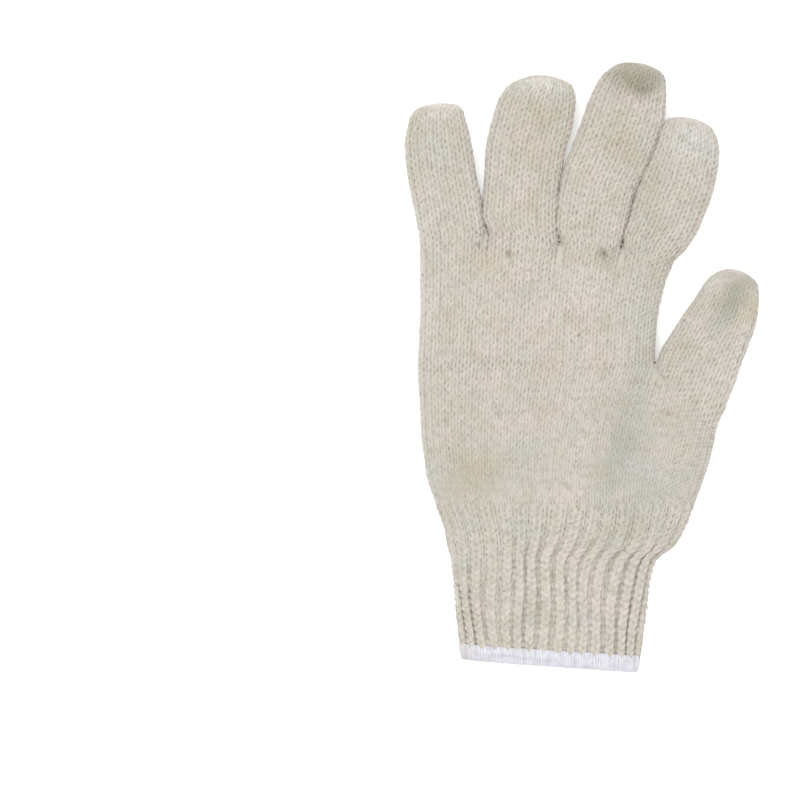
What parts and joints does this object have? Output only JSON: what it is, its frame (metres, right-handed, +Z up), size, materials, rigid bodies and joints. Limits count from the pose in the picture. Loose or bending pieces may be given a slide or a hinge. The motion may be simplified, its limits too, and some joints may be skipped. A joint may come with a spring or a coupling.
{
  "type": "cotton work glove",
  "caption": "Seamless knitted cotton work glove, lying flat and empty, with tube fingers and thumb, a ribbed elastic cuff and a white overlocked edge.",
  "frame": {"origin": "under the middle of the glove's bounding box, on the surface that it lies on", "axes": "+Y along the hand from the cuff towards the fingertips, +X towards the thumb, +Z up from the surface that it lies on"},
  "size_m": [0.1434, 0.247, 0.013],
  "materials": {
    "cotton_knit": "unbleached ecru cotton string, plain stocking stitch, matt and slightly fuzzy with dark flecks",
    "cotton_rib": "unbleached ecru cotton string gathered into ribs by elastic, matt and fuzzy",
    "overlock_thread": "white overlock thread wrapped over the edge, matt"
  },
  "bodies": {
    "root": {"little_finger": "cotton_knit", "ring_finger": "cotton_knit", "middle_finger": "cotton_knit", "index_finger": "cotton_knit", "upper_palm": "cotton_knit", "thumb": "cotton_knit", "lower_palm": "cotton_knit", "rib_cuff": "cotton_rib", "overlock_hem": "overlock_thread"}
  },
  "joints": []
}
